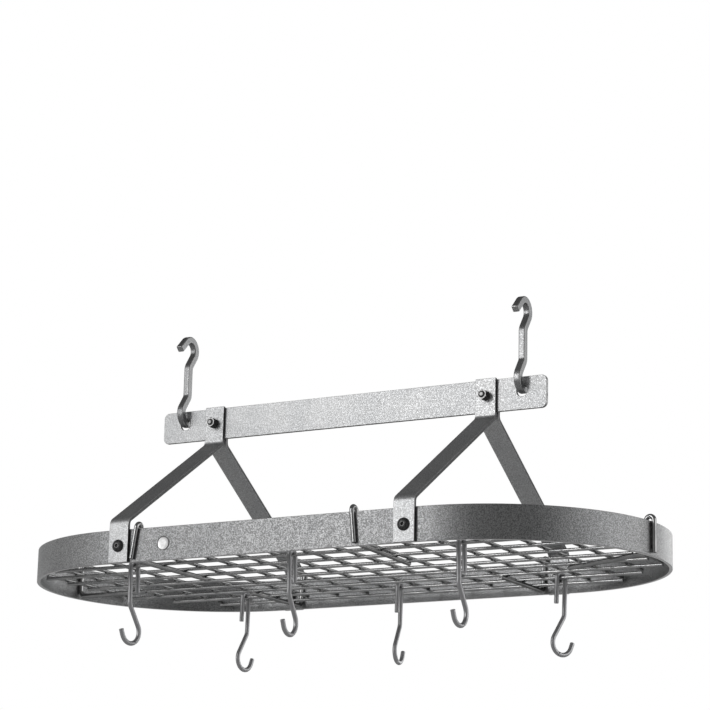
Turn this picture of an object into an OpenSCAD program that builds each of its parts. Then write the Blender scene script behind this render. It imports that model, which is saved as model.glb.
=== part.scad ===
/* [Oval rim] */
// Overall length of the oval rim
rim_length = 914.4; // [880:0.1:1000]
// Overall width of the oval rim
rim_width = 449; // [430:0.5:480]
// Height of the flat stock of the rim and of the top bar
stock_h = 44.45; // [40:0.05:50]
// Thickness of the flat stock of the rim, the straps and the top bar
stock_t = 4.76; // [3.2:0.01:6.4]

/* [Top bar] */
// Distance from the centre line of a strap to the end of the top bar
bar_overhang = 87.5; // [72:0.5:110]
// Height of the bar's lower edge over the rim's lower edge
bar_rise = 210.4; // [190:0.1:240]
// Radius of the bar's four corners
bar_corner_r = 8; // [2:0.5:16]
// Diameter of the hole that takes a ceiling hook
hook_hole_d = 15.88; // [15:0.01:19]
// Distance from the hook hole's centre to the bar's top edge
hook_hole_drop = 18.9; // [14:0.1:24]
// Distance from the hook hole's centre to the end of the bar
hook_hole_inset = 36; // [16:0.5:50]

/* [Straps] */
// Width of a strap
strap_w = 30; // [20:0.5:36]
// Distance from the start of the rim's round end to a strap's centre line
strap_inset = 19.7; // [15:0.1:50]
// Height of the strap's lower bend over the rim's lower edge
strap_knee_z = 57; // [52:0.5:80]
// Distance from the strap's upper bend down from the top edge of the bar
strap_shoulder_drop = 51.9; // [46:0.1:60]
// Height of the strap's end over the bar's top edge
strap_proud = 1.3; // [0:0.1:4]
// Outer radius of the strap's bends
strap_bend_r = 12; // [8:0.5:16]

/* [Bolts and nuts] */
// Diameter of every bolt's shank
bolt_d = 7.94; // [6:0.01:9]
// Radial room between a shank and its hole in the flat stock
bolt_room = 0.3; // [0.2:0.05:0.6]
// Diameter of the button head
head_d = 16.5; // [14:0.1:18]
// Height of the button head
head_h = 4.5; // [3:0.1:6]
// Width of the head's hexagon socket across its corners
socket_d = 5.5; // [4:0.1:6]
// Depth of the head's hexagon socket
socket_depth = 2.6; // [1.5:0.1:2.8]
// Width of a nut across its flats
nut_af = 12.7; // [12:0.1:14]
// Thickness of a lower nut
nut_h = 6.7; // [5:0.1:8]
// Height of an upper lock nut
lock_nut_h = 11.3; // [6:0.1:12.4]
// Length of a lower bolt under its head
lower_bolt_len = 19.05; // [18:0.05:24]
// Length of an upper bolt under its head
upper_bolt_len = 27.2; // [24:0.1:32]
// Distance from the upper bolt's axis to the bar's top edge
upper_bolt_drop = 22.4; // [18:0.1:26]

/* [Ceiling hooks] */
// Side of the square bar of a ceiling hook
hook_bar = 9.52; // [6:0.01:9.6]
// Distance between the centres of a ceiling hook's two bowls
hook_reach = 94; // [86:0.5:130]
// Radius of a bowl's centre line
bowl_r = 14.5; // [13:0.1:18]
// Radius of the centre line of the two bends in the shank
jog_r = 12; // [10:0.5:14]
// Slant of the hook between a bowl and the shank
jog_angle = 35; // [30:1:40]
// Slope of the straight tips
tip_slope = 45; // [40:1:50]
// Length of the straight tips
tip_len = 20; // [12:0.5:24]
// Room between the hook's corners and the edge of its hole
hook_room = 0.2; // [0.1:0.05:0.5]

/* [Grid] */
// Diameter of the grid's rods
rod_d = 4.76; // [4:0.01:5.4]
// Distance between neighbouring rods
pitch = 49.4; // [49:0.1:50.4]
// Height of the lengthwise rods' axes over the rim's lower edge
grid_z = 9.5; // [9:0.1:16]
// Least room between the outermost rods' axes and the rim's sides and tips
side_room = 16; // [14:0.5:18]
// Least room between a crossing of two rods' axes and the rim's round end
grid_margin = 3.2; // [3.2:0.1:18]
// Length of a rod past the axis of the last rod that it crosses
rod_over = 1.2; // [0.6:0.1:1.4]

/* [Rim clips] */
// Diameter of the clips' wire
clip_d = 6.35; // [5:0.01:6.6]
// Room between the clip's legs and the rim's faces
clip_room = 0.1; // [0.05:0.05:0.4]
// Height of the clip's crown centre over the rim's top edge
clip_lift = 0.6; // [0:0.1:2]
// Radius of the bend between the inner leg and the arm
clip_bend_r = 9; // [6:0.5:12]
// Height of the outer leg's end over the rim's lower edge
clip_end_z = 4; // [2:0.5:20]
// Room between the clip's arm and the grid that lies on it
rest_gap = 0.1; // [0.05:0.05:0.4]

/* [Pot hooks] */
// Diameter of the pot hooks' wire
wire_d = 6.35; // [5:0.01:6.6]
// Radius of the crown's centre line
crown_r = 7; // [6.6:0.1:9]
// Room between the crown and the rod it hangs on
crown_room = 0.14; // [0.1:0.02:0.3]
// Length of the short leg's straight part
short_leg = 34.5; // [20:0.5:44]
// Length of the long leg's straight part
long_leg = 47; // [40:0.5:60]
// Slant of the shank under the long leg
shank_angle = 30; // [20:1:34]
// Length of the slanted shank
shank_len = 29; // [20:0.5:36]
// Radius of the bend between the long leg and the shank
knee_r = 14; // [8:0.5:18]
// Radius of the pot hook's open bowl
pot_bowl_r = 16; // [13:0.5:20]
// Flare of the bowl's tip from the vertical
tip_flare = 20; // [10:1:26]
// Length of the bowl's straight tip
pot_tip_len = 8; // [3:0.5:12]
// Lean at which the hook hangs in balance
hook_lean = 1.5; // [0:0.1:3]

/* [Badge] */
// Diameter of the blank badge
badge_d = 18.5; // [14:0.1:24]
// Thickness of the blank badge
badge_t = 0.9; // [0.5:0.1:1.5]
// Distance from the badge's centre to the left straps' centre line
badge_inset = 68; // [44:1:110]

/* [Hidden] */
$fn = 48;
// A bend draws in by this much all round, and a straight runs this far into it
neck = 0.02;
lap = 0.05;

black_steel = "#3b3b3e";
dark_steel = "#2a2a2c";
bright_steel = "#a9a9ad";

// Rim: the centres of its two round ends, its outer and its inner radius
end_x = (rim_length - rim_width) / 2;
rim_ro = rim_width / 2;
rim_ri = rim_ro - stock_t;

// Top bar and its holes, over the rim's lower edge
bar_top = bar_rise + stock_h;
strap_x = end_x - strap_inset;
bar_half = strap_x + bar_overhang;
hole_x = bar_half - hook_hole_inset;
hole_z = bar_top - hook_hole_drop;
upper_z = bar_top - upper_bolt_drop;
lower_z = stock_h / 2;
badge_x = strap_x - badge_inset;

// Ceiling hook: the lower bowl carries the hole's top edge on its inner face
bowl_ri = bowl_r - hook_bar / 2 + neck;
hole_r = hook_hole_d / 2;
bowl_drop = sqrt(pow(bowl_ri, 2) - pow(stock_t / 2, 2));
low_bowl_z = hole_z + sqrt(pow(hole_r, 2) - pow(hook_bar / 2, 2)) - hook_room + bowl_drop;
hang_z = low_bowl_z + hook_reach;
jog_len = (bowl_r * cos(jog_angle) - jog_r * (1 - cos(jog_angle))) / sin(jog_angle);
jog_rise = (bowl_r + jog_r) * sin(jog_angle) + jog_len * cos(jog_angle);

// Grid: how far its rods may reach, an odd number of long rods and an even one of cross rods
cross_z = grid_z + rod_d;
reach_r = rim_ri - grid_margin;
long_count = 2 * floor((rim_ri - side_room) / pitch) + 1;
cross_count = 2 * floor((end_x + rim_ri - side_room) / pitch + 0.5);

// Pot hook: the crown's centre and the bowl's half turn, seen from the rod's axis
crown_z = (rod_d + wire_d) / 2 + crown_room - crown_r;
half_turn = (180 + shank_angle - tip_flare) / 2;

function unit(v) = v / norm(v);
function last(v) = v[len(v) - 1];
function reversed(v) = [for (i = [len(v) - 1 : -1 : 0]) v[i]];

// Points of an open path whose inner corners are rounded
function rounded(pts, radii, n = 6) = concat(
    [pts[0]],
    [for (i = [1 : len(pts) - 2]) each corner(pts[i - 1], pts[i], pts[i + 1], radii[i - 1], n)],
    [last(pts)]
);
function corner(a, b, c, r, n) =
    let (
        u = unit(a - b),
        v = unit(c - b),
        half = acos(u * v) / 2,
        p = b + u * r / tan(half),
        q = b + v * r / tan(half),
        m = b + unit(u + v) * r / sin(half),
        a0 = atan2(p[1] - m[1], p[0] - m[0]),
        a1 = atan2(q[1] - m[1], q[0] - m[0]),
        turn = (a1 - a0 + 540) % 360 - 180
    )
    [for (i = [0 : n]) m + r * [cos(a0 + turn * i / n), sin(a0 + turn * i / n)]];

// Places what is measured from the rim's lower edge into the part's own frame
module placed() {
    translate([0, 0, -hang_z]) children();
}

// Cylinder along Y, from y0 to y1
module y_cylinder(x, z, y0, y1, r) {
    translate([x, y0, z]) rotate([-90, 0, 0]) cylinder(h = y1 - y0, r = r);
}

// Straight piece of round wire between two points
module straight_wire(a, b, d) {
    v = b - a;
    translate(a)
        rotate([0, acos(v[2] / norm(v)), atan2(v[1], v[0])])
            cylinder(h = norm(v), d = d);
}

// Bend of round wire at point b, between the directions from a and to c
module bent_wire(a, b, c, r, d) {
    u = unit(b - a);
    w = unit(c - b);
    turn = acos(u * w);
    n = unit(w - u * (u * w));
    m = b - u * r * tan(turn / 2) + n * r;
    k = cross(-n, u);
    multmatrix([
        [-n[0], u[0], k[0], m[0]],
        [-n[1], u[1], k[1], m[1]],
        [-n[2], u[2], k[2], m[2]],
        [0, 0, 0, 1]
    ])
        rotate_extrude(angle = turn)
            translate([r, 0]) circle(d = d - 2 * neck);
}

// Tangent length of the bend of radius r at point b
function setback(a, b, c, r) = r * tan(acos(unit(b - a) * unit(c - b)) / 2);

// Round wire through the points, bent at each inner one
module wire(pts, radii, d) {
    n = len(pts);
    backs = [
        for (i = [0 : n - 1])
            (i == 0 || i == n - 1) ? 0 : setback(pts[i - 1], pts[i], pts[i + 1], radii[i - 1])
    ];
    union() {
        for (i = [0 : n - 2]) {
            u = unit(pts[i + 1] - pts[i]);
            from = i == 0 ? 0 : backs[i] - lap;
            to = i == n - 2 ? 0 : backs[i + 1] - lap;
            straight_wire(pts[i] + u * from, pts[i + 1] - u * to, d);
        }
        for (i = [1 : n - 2])
            bent_wire(pts[i - 1], pts[i], pts[i + 1], radii[i - 1], d);
    }
}

module rim() {
    color(black_steel) placed() difference() {
        union() {
            for (s = [-1, 1]) {
                translate([-end_x, s > 0 ? rim_ri : -rim_ro, 0])
                    cube([2 * end_x, stock_t, stock_h]);
                translate([s * end_x, 0, 0])
                    rotate([0, 0, s > 0 ? -90 : 90])
                        rotate_extrude(angle = 180, $fn = 160)
                            translate([rim_ri, 0]) square([stock_t, stock_h]);
            }
        }
        for (x = [-strap_x, strap_x])
            for (s = [-1, 1])
                y_cylinder(x, lower_z, s * (rim_ro - stock_t / 2) - stock_t, s * (rim_ro - stock_t / 2) + stock_t,
                    bolt_d / 2 + bolt_room);
    }
}

// Outline of the top bar, seen from the front
function bar_outline() =
    let (x = bar_half, r = bar_corner_r, h = stock_h)
    [
        for (k = [0 : 3])
            let (cx = (k == 0 || k == 3) ? x - r : r - x, cz = k < 2 ? h - r : r)
            for (i = [0 : 6]) [cx + r * cos(90 * k + 15 * i), cz + r * sin(90 * k + 15 * i)]
    ];

module top_bar() {
    color(black_steel) placed() difference() {
        translate([0, stock_t / 2, bar_rise])
            rotate([90, 0, 0])
                linear_extrude(height = stock_t) polygon(bar_outline());
        for (s = [-1, 1]) {
            y_cylinder(s * hole_x, hole_z, -stock_t, stock_t, hole_r);
            y_cylinder(s * strap_x, upper_z, -stock_t, stock_t, bolt_d / 2 + bolt_room);
        }
    }
}

// Side outline of a front strap as [distance from the middle, height]
function strap_outline() =
    let (
        low = rim_ro + stock_t,
        up = stock_t * 1.5,
        shoulder = bar_top - strap_shoulder_drop,
        theta = atan2(low - up, shoulder - strap_knee_z),
        shift = stock_t * tan(theta / 2),
        top = bar_top + strap_proud,
        r = strap_bend_r,
        outer = rounded([[low, 0], [low, strap_knee_z], [up, shoulder], [up, top]], [r, r - stock_t]),
        inner = rounded(
            [
                [low - stock_t, 0],
                [low - stock_t, strap_knee_z - shift],
                [up - stock_t, shoulder - shift],
                [up - stock_t, top]
            ],
            [r - stock_t, r]
        )
    )
    concat(outer, reversed(inner));

module strap(x, side) {
    color(black_steel) placed() difference() {
        translate([x - strap_w / 2, 0, 0])
            mirror([0, side < 0 ? 1 : 0, 0])
                rotate([90, 0, 90])
                    linear_extrude(height = strap_w) polygon(strap_outline());
        y_cylinder(x, lower_z, side * (rim_ro + stock_t / 2) - stock_t, side * (rim_ro + stock_t / 2) + stock_t,
            bolt_d / 2 + bolt_room);
        y_cylinder(x, upper_z, side * stock_t - stock_t, side * stock_t + stock_t, bolt_d / 2 + bolt_room);
    }
}
module strap_front_left() { strap(-strap_x, -1); }
module strap_front_right() { strap(strap_x, -1); }
module strap_rear_left() { strap(-strap_x, 1); }
module strap_rear_right() { strap(strap_x, 1); }

// Button-head bolt along +Z, with the underside of its head at z = 0
module bolt(length) {
    dome = [for (i = [0 : 8]) let (a = 11.25 * i) [head_d / 2 * cos(a), head_h * (0.2 + 0.8 * sin(a))]];
    tip = 0.8;
    difference() {
        rotate_extrude($fn = 48)
            polygon(concat(
                [[0, -length], [bolt_d / 2 - tip, -length], [bolt_d / 2, tip - length], [bolt_d / 2, 0]],
                [[head_d / 2, 0]],
                dome,
                [[0, head_h]]
            ));
        translate([0, 0, head_h - socket_depth]) cylinder(h = head_h, d = socket_d, $fn = 6);
    }
}

// Hexagon nut along +Z, with its lower face at z = 0
module nut(height) {
    corner_r = nut_af / 2 / cos(30);
    cut = corner_r - nut_af / 2;
    difference() {
        intersection() {
            cylinder(h = height, r = corner_r, $fn = 6);
            rotate_extrude($fn = 48)
                polygon([
                    [0, 0], [nut_af / 2, 0], [corner_r, cut / 2],
                    [corner_r, height - cut / 2], [nut_af / 2, height], [0, height]
                ]);
        }
        translate([0, 0, -1]) cylinder(h = height + 2, r = bolt_d / 2 + 0.05);
    }
}

module lower_bolts() {
    color(dark_steel) placed()
        for (x = [-strap_x, strap_x])
            for (s = [-1, 1])
                translate([x, s * (rim_ro + stock_t), lower_z]) rotate([-90 * s, 0, 0]) bolt(lower_bolt_len);
}

module lower_nuts() {
    color(dark_steel) placed()
        for (x = [-strap_x, strap_x])
            for (s = [-1, 1])
                translate([x, s * rim_ri, lower_z]) rotate([90 * s, 0, 0]) nut(nut_h);
}

module upper_bolts() {
    color(dark_steel) placed()
        for (x = [-strap_x, strap_x])
            translate([x, stock_t * 1.5, upper_z]) rotate([-90, 0, 0]) bolt(upper_bolt_len);
}

module upper_nuts() {
    color(dark_steel) placed()
        for (x = [-strap_x, strap_x])
            translate([x, -stock_t * 1.5, upper_z]) rotate([90, 30, 0]) nut(lock_nut_h);
}

module badge() {
    lip = 0.8;
    color("#d8d8d8") placed()
        difference() {
            y_cylinder(-badge_x, lower_z, -rim_ro - badge_t, -rim_ro, badge_d / 2);
            y_cylinder(-badge_x, lower_z, -rim_ro - 2 * badge_t, -rim_ro - badge_t / 2, badge_d / 2 - lip);
        }
}

// Straight piece of square bar from the point p, with its heading in the YZ plane
module square_run(p, heading, length) {
    translate([0, p[0], p[1]])
        rotate([heading, 0, 0])
            translate([-hook_bar / 2, -lap, -hook_bar / 2]) cube([hook_bar, length + lap, hook_bar]);
}

// Arc of square bar about the point m, between two angles in the YZ plane
module square_arc(m, r, a0, a1) {
    translate([0, m[0], m[1]])
        rotate([90, 0, 90])
            rotate([0, 0, a0])
                rotate_extrude(angle = a1 - a0, $fn = 96)
                    translate([r - hook_bar / 2 + neck, neck - hook_bar / 2]) square(hook_bar - 2 * neck);
}

// Lower end of a ceiling hook, from its shank to its tip, about the centre of its bowl
module hook_end() {
    j = jog_angle;
    out = bowl_r * [cos(180 - j), sin(180 - j)];
    up = out + jog_len * [sin(j), cos(j)];
    m = up + jog_r * [cos(180 - j), sin(180 - j)];
    tip = bowl_r * [cos(tip_slope - 90), sin(tip_slope - 90)];
    square_arc([0, 0], bowl_r, 180 - j, 270 + tip_slope);
    square_run(tip, tip_slope, tip_len);
    square_run(out, 90 - j, jog_len + lap);
    square_arc(m, jog_r, -j, 0);
}

module ceiling_hook(x) {
    color(black_steel) placed()
        union() {
            translate([x, 0, low_bowl_z]) {
                hook_end();
                square_run([0, jog_rise], 90, hook_reach - 2 * jog_rise + lap);
            }
            translate([x, 0, hang_z]) rotate([180, 0, 0]) hook_end();
        }
}
module ceiling_hook_left() { ceiling_hook(-hole_x); }
module ceiling_hook_right() { ceiling_hook(hole_x); }

// Positions of the rods, and the last crossing that still clears the rim
function long_y(j) = (j - (long_count - 1) / 2) * pitch;
function cross_x(i) = (i - (cross_count - 1) / 2) * pitch;
function clears(x, y) = norm([max(abs(x) - end_x, 0), y]) <= reach_r;
function long_reach(y) = max([for (i = [0 : cross_count - 1]) clears(cross_x(i), y) ? cross_x(i) : 0]);
function cross_reach(x) = max([for (j = [0 : long_count - 1]) clears(x, long_y(j)) ? long_y(j) : 0]);

module grid_long_rods() {
    color(bright_steel) placed()
        for (j = [0 : long_count - 1]) {
            y = long_y(j);
            l = long_reach(y) + rod_over;
            translate([-l, y, grid_z]) rotate([0, 90, 0]) cylinder(h = 2 * l, d = rod_d);
        }
}

module grid_cross_rods() {
    color(bright_steel) placed()
        for (i = [0 : cross_count - 1]) {
            x = cross_x(i);
            l = cross_reach(x) + rod_over;
            y_cylinder(x, cross_z, -l, l, rod_d / 2);
        }
}

// Rim clip: a loop over the rim, its legs at the points in plan, and an arm under the grid
arm_z = grid_z - (rod_d + clip_d) / 2 - rest_gap;
clip_r = (stock_t + clip_d) / 2 + clip_room;
clip_top = stock_h + clip_lift + clip_r;
leg_out = rim_ro + clip_d / 2 + clip_room;
leg_in = rim_ri - clip_d / 2 - clip_room;
beside_strap = strap_x - strap_w / 2 - clip_d / 2 - 2 * clip_room;

module clip(outer, inner, outer_foot, inner_foot, tip) {
    f = (clip_end_z - arm_z) / (clip_top - arm_z);
    foot = outer_foot + (outer - outer_foot) * f;
    color(bright_steel) placed()
        wire(
            [
                [foot[0], foot[1], clip_end_z],
                [outer[0], outer[1], clip_top],
                [inner[0], inner[1], clip_top],
                [inner_foot[0], inner_foot[1], arm_z],
                [tip[0], tip[1], arm_z]
            ],
            [clip_r, clip_r, clip_bend_r],
            clip_d
        );
}

// Clip on a long side: where its loop and its foot stand along the rim, and its arm's tip
module side_clip(side, x_top, x_foot, tip) {
    clip([x_top, side * leg_out], [x_top, side * leg_in], [x_foot, side * leg_out], [x_foot, side * leg_in], tip);
}

// Clip on a round end, at an angle about the end's centre
module end_clip(side, angle, tip) {
    d = [side * cos(angle), sin(angle)];
    c = [side * end_x, 0];
    clip(c + leg_out * d, c + leg_in * d, c + leg_out * d, c + leg_in * d, tip);
}

// Distance along the rim or the rods, in pitches of the grid
function along(n) = n * pitch;
module clip_front_left() {
    side_clip(-1, along(0.19) - beside_strap, along(0.05) - beside_strap, [along(0.08) - beside_strap, along(-0.968)]);
}
module clip_front_right() {
    side_clip(-1, strap_x - along(1.52), strap_x - along(1.42), [strap_x - along(1.66), along(-1.215)]);
}
module clip_rear_left() { side_clip(1, -beside_strap, -beside_strap, [along(-0.02) - beside_strap, along(1.58)]); }
module clip_rear_right() { side_clip(1, beside_strap, beside_strap, [along(0.03) + beside_strap, along(1.61)]); }
module clip_end_left() { end_clip(-1, 5.5, [along(-2.03) - end_x, along(0.344)]); }
module clip_end_right() { end_clip(1, -5.5, [along(1.565) + end_x, along(0.982)]); }

// Pot hook's path about the rod's axis, as [distance outwards, height]
function hook_path() =
    let (
        r = crown_r,
        k = knee_r * tan(shank_angle / 2),
        b = pot_bowl_r * tan(half_turn / 2),
        h0 = -90 - shank_angle,
        h1 = h0 + half_turn,
        h2 = h1 + half_turn,
        p3 = [r, crown_z - long_leg - k],
        p4 = p3 + (k + shank_len + b) * [cos(h0), sin(h0)],
        p5 = p4 + 2 * b * [cos(h1), sin(h1)],
        p6 = p5 + (b + pot_tip_len) * [cos(h2), sin(h2)]
    )
    [[-r, crown_z - short_leg], [-r, crown_z + r], [r, crown_z + r], p3, p4, p5, p6];

// Pot hook on a rod: its place along the rod, the rod's side and the hook's turn in plan
module pot_hook(x, side, turn) {
    rod_y = side * (long_count - 3) / 2 * pitch;
    pts = [
        for (p = hook_path())
            let (
                u = p[0] * cos(hook_lean) + p[1] * sin(hook_lean),
                z = p[1] * cos(hook_lean) - p[0] * sin(hook_lean)
            )
            [x + side * u * cos(turn), rod_y + side * u * sin(turn), grid_z + z]
    ];
    color(bright_steel) placed()
        wire(pts, [crown_r, crown_r, knee_r, pot_bowl_r, pot_bowl_r], wire_d);
}
module pot_hook_front_left() { pot_hook(along(-4.879), -1, 80); }
module pot_hook_front_middle() { pot_hook(along(0.121), -1, 90); }
module pot_hook_front_right() { pot_hook(along(5.111), -1, 87); }
module pot_hook_rear_left() { pot_hook(along(-5.02), 1, 84); }
module pot_hook_rear_middle() { pot_hook(along(0.085), 1, 98); }
module pot_hook_rear_right() { pot_hook(along(5.111), 1, 63.5); }

rim();
top_bar();
strap_front_left();
strap_front_right();
strap_rear_left();
strap_rear_right();
upper_bolts();
upper_nuts();
lower_bolts();
lower_nuts();
badge();
ceiling_hook_left();
ceiling_hook_right();
grid_long_rods();
grid_cross_rods();
clip_front_left();
clip_front_right();
clip_rear_left();
clip_rear_right();
clip_end_left();
clip_end_right();
pot_hook_front_left();
pot_hook_front_middle();
pot_hook_front_right();
pot_hook_rear_left();
pot_hook_rear_middle();
pot_hook_rear_right();
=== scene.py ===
"""Dressed model of a hanging oval pot rack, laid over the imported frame.

Lengths are in millimetres and heights are measured from the rim's lower edge, until a shell is put into the
scene.
"""
import logging
import math
from dataclasses import dataclass, field
from enum import Enum

import bpy
import numpy as np
from mathutils import Matrix, Vector


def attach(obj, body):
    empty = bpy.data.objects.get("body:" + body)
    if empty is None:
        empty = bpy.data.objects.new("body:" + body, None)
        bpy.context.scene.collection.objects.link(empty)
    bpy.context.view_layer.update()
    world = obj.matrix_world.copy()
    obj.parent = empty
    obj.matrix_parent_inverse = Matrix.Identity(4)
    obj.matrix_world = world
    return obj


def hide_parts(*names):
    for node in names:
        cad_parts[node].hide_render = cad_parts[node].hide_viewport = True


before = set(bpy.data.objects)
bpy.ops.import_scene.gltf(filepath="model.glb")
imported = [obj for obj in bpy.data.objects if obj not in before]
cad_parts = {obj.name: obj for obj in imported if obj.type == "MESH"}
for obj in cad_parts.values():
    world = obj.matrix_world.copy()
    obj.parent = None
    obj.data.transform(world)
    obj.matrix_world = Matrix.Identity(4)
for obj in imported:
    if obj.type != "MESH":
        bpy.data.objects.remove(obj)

log = logging.getLogger("pot_rack")

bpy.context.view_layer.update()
MILLIMETRE = 0.001
HANG_HEIGHT = 345.57
PITCH = 49.4
FLAT_THICK = 4.76
STRAP_X = 213.0
STRAP_FOOT_Y = 229.26
STRAP_TOP_Y = 7.14
HOOK_X = 264.5
LONG_ROD_Z = 9.5
UP = np.array([0.0, 0.0, 1.0])
ALONG = np.array([1.0, 0.0, 0.0])
ACROSS = np.array([0.0, 1.0, 0.0])


# Shapes


class Ending(Enum):
    """How a surface made of rings comes to its ends."""

    WRAP = "the last ring joins the first"
    FLAT = "a flat face closes each end"
    POLE = "each end closes on a point"


@dataclass
class Shell:
    """Closed surface, as its points, its rounded faces, its flat faces and how worn each point is."""

    points: np.ndarray
    rounded: list[np.ndarray]
    flat: list[np.ndarray] = field(default_factory=list)
    wear: np.ndarray | None = None

    def volume(self) -> float:
        """Signed volume: a sixth of the sum of the triple products of each face's fan of triangles.

        Returns:
            The volume, which is negative where the faces point inwards.
        """
        total = 0.0
        for faces in self.rounded + self.flat:
            corners = self.points[faces]
            for k in range(1, faces.shape[1] - 1):
                total += np.einsum("ij,ij->", corners[:, 0], np.cross(corners[:, k], corners[:, k + 1])) / 6.0
        return float(total)

    def outward(self) -> "Shell":
        """The same shell with its faces pointing outwards.

        Returns:
            The shell itself, or one with every face turned round.
        """
        if self.volume() >= 0.0:
            return self
        rounded, flat = ([f[:, ::-1] for f in faces] for faces in (self.rounded, self.flat))
        return Shell(self.points, rounded, flat, self.wear)

    def moved(self, origin: np.ndarray, x_axis: np.ndarray = ALONG, z_axis: np.ndarray = UP) -> "Shell":
        """The shell set down with its own X and Z axes along two directions.

        Args:
            origin: Where the shell's own origin goes.
            x_axis: Direction that its X axis takes.
            z_axis: Direction that its Z axis takes.

        Returns:
            The moved shell.
        """
        turn = np.stack([x_axis, np.cross(z_axis, x_axis), z_axis])
        return Shell(self.points @ turn + np.asarray(origin, float), self.rounded, self.flat, self.wear)


def together(shells: list[Shell]) -> Shell:
    """Several shells as one.

    Args:
        shells: The shells, each closed.

    Returns:
        One shell that holds them all.
    """
    starts = np.cumsum([0] + [len(s.points) for s in shells[:-1]])
    return Shell(
        np.concatenate([s.points for s in shells]),
        [f + start for s, start in zip(shells, starts) for f in s.rounded],
        [f + start for s, start in zip(shells, starts) for f in s.flat],
        np.concatenate([np.zeros(len(s.points)) if s.wear is None else s.wear for s in shells]),
    )


def lattice(rings: np.ndarray, ending: Ending, wear: np.ndarray | float = 0.0) -> Shell:
    """Surface through rings of points, each ring closed on itself and joined to the next one.

    Args:
        rings: Points, as (ring, point on the ring, coordinate).
        ending: How the first and the last ring are closed.
        wear: How worn each point is, as anything that spreads over (ring, point on the ring).

    Returns:
        The closed shell, with its faces pointing outwards.
    """
    count, around = rings.shape[:2]
    index = np.arange(count * around).reshape(count, around)
    low = index if ending is Ending.WRAP else index[:-1]
    high = np.roll(index, -1, axis=0) if ending is Ending.WRAP else index[1:]
    quads = np.stack([low, np.roll(low, -1, axis=1), np.roll(high, -1, axis=1), high], axis=-1).reshape(-1, 4)
    points = rings.reshape(-1, 3)
    worn = np.broadcast_to(wear, (count, around)).reshape(-1)
    if ending is Ending.FLAT:
        return Shell(points, [quads], [index[:1, ::-1], index[-1:]], worn).outward()
    if ending is Ending.POLE:
        poles = np.stack([rings[0].mean(axis=0), rings[-1].mean(axis=0)])
        first, last = index[0], index[-1]
        fans = np.concatenate([
            np.stack([np.roll(first, -1), first, np.full(around, len(points))], axis=-1),
            np.stack([last, np.roll(last, -1), np.full(around, len(points) + 1)], axis=-1),
        ])
        points = np.concatenate([points, poles])
        return Shell(points, [quads, fans], [], np.concatenate([worn, worn[:1], worn[-1:]])).outward()
    return Shell(points, [quads], [], worn).outward()


@dataclass(frozen=True)
class RoundStock:
    """Round wire or rod."""

    diameter: float
    sides: int = 24

    def ring(self, inset: float = 0.0) -> np.ndarray:
        """Circle of the wire's radius less the inset.

        Args:
            inset: How far the ring lies inside the wire's surface.

        Returns:
            The points across the wire, as (point, 2).
        """
        angle = np.arange(self.sides) * 2.0 * np.pi / self.sides
        return (self.diameter / 2.0 - inset) * np.stack([np.cos(angle), np.sin(angle)], axis=-1)

    def worn(self) -> np.ndarray:
        """How worn each point of the ring is: not at all."""
        return np.zeros(self.sides)


@dataclass(frozen=True)
class FlatStock:
    """Flat or square bar with softened corners."""

    width: float
    depth: float
    corner: float = 0.6
    steps: int = 4

    def ring(self, inset: float = 0.0) -> np.ndarray:
        """Rectangle with a quarter circle at each corner, and a point near its ends that keeps the face flat.

        Args:
            inset: How far the ring lies inside the bar's surface.

        Returns:
            The points across the bar, as (point, 2).
        """
        radius = max(self.corner - inset, 0.02)
        angle = np.linspace(0.0, np.pi / 2.0, self.steps + 1)
        arc = radius * np.stack([np.cos(angle), np.sin(angle)], axis=-1)
        near = 0.5 * self.corner
        quarter = np.concatenate([[[radius, -near]], arc, [[-near, radius]]])
        half = np.array([self.width, self.depth]) / 2.0 - inset - radius
        quarters = []
        for k, (sx, sy) in enumerate([(1, 1), (-1, 1), (-1, -1), (1, -1)]):
            turn = np.array([[0, 1], [-1, 0]])
            quarters.append(quarter @ np.linalg.matrix_power(turn, k) + half * [sx, sy])
        return np.concatenate(quarters)

    def worn(self) -> np.ndarray:
        """How worn each point of the ring is: most in the middle of a corner.

        Returns:
            The wear, as (point,).
        """
        arc = np.sin(np.linspace(0.0, np.pi, self.steps + 1)) * 0.5 + 0.5
        return np.tile(np.concatenate([[0.0], arc, [0.0]]), 4)


@dataclass(frozen=True)
class Path:
    """Points along a piece, with the heading at each of them."""

    points: np.ndarray
    headings: np.ndarray


def bent_path(points: np.ndarray, radii: list[float], steps: int = 12) -> Path:
    """Open path through corner points, each inner corner replaced by an arc that touches both of its sides.

    At a corner with headings u before and w after, and a turn t between them, the arc starts r tan(t / 2)
    before the corner and runs as start + r sin(a) u + r (1 - cos(a)) n, where n is the part of w across u and a
    goes from 0 to t.

    Args:
        points: The corner points, as (point, 3).
        radii: The arc's radius at each inner corner.
        steps: How many pieces each arc has.

    Returns:
        The path.
    """
    points = np.asarray(points, float)
    runs = np.diff(points, axis=0)
    units = runs / np.linalg.norm(runs, axis=1, keepdims=True)
    places, headings = [points[:1]], [units[:1]]
    for corner, u, w, radius in zip(points[1:-1], units[:-1], units[1:], radii):
        turn = math.acos(float(np.clip(u @ w, -1.0, 1.0)))
        n = w - u * (u @ w)
        n = n / np.linalg.norm(n)
        a = np.linspace(0.0, turn, steps + 1)[:, None]
        start = corner - u * radius * math.tan(turn / 2.0)
        places.append(start + radius * (np.sin(a) * u + (1.0 - np.cos(a)) * n))
        headings.append(np.cos(a) * u + np.sin(a) * n)
    return Path(np.concatenate(places + [points[-1:]]), np.concatenate(headings + [units[-1:]]))


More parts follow.
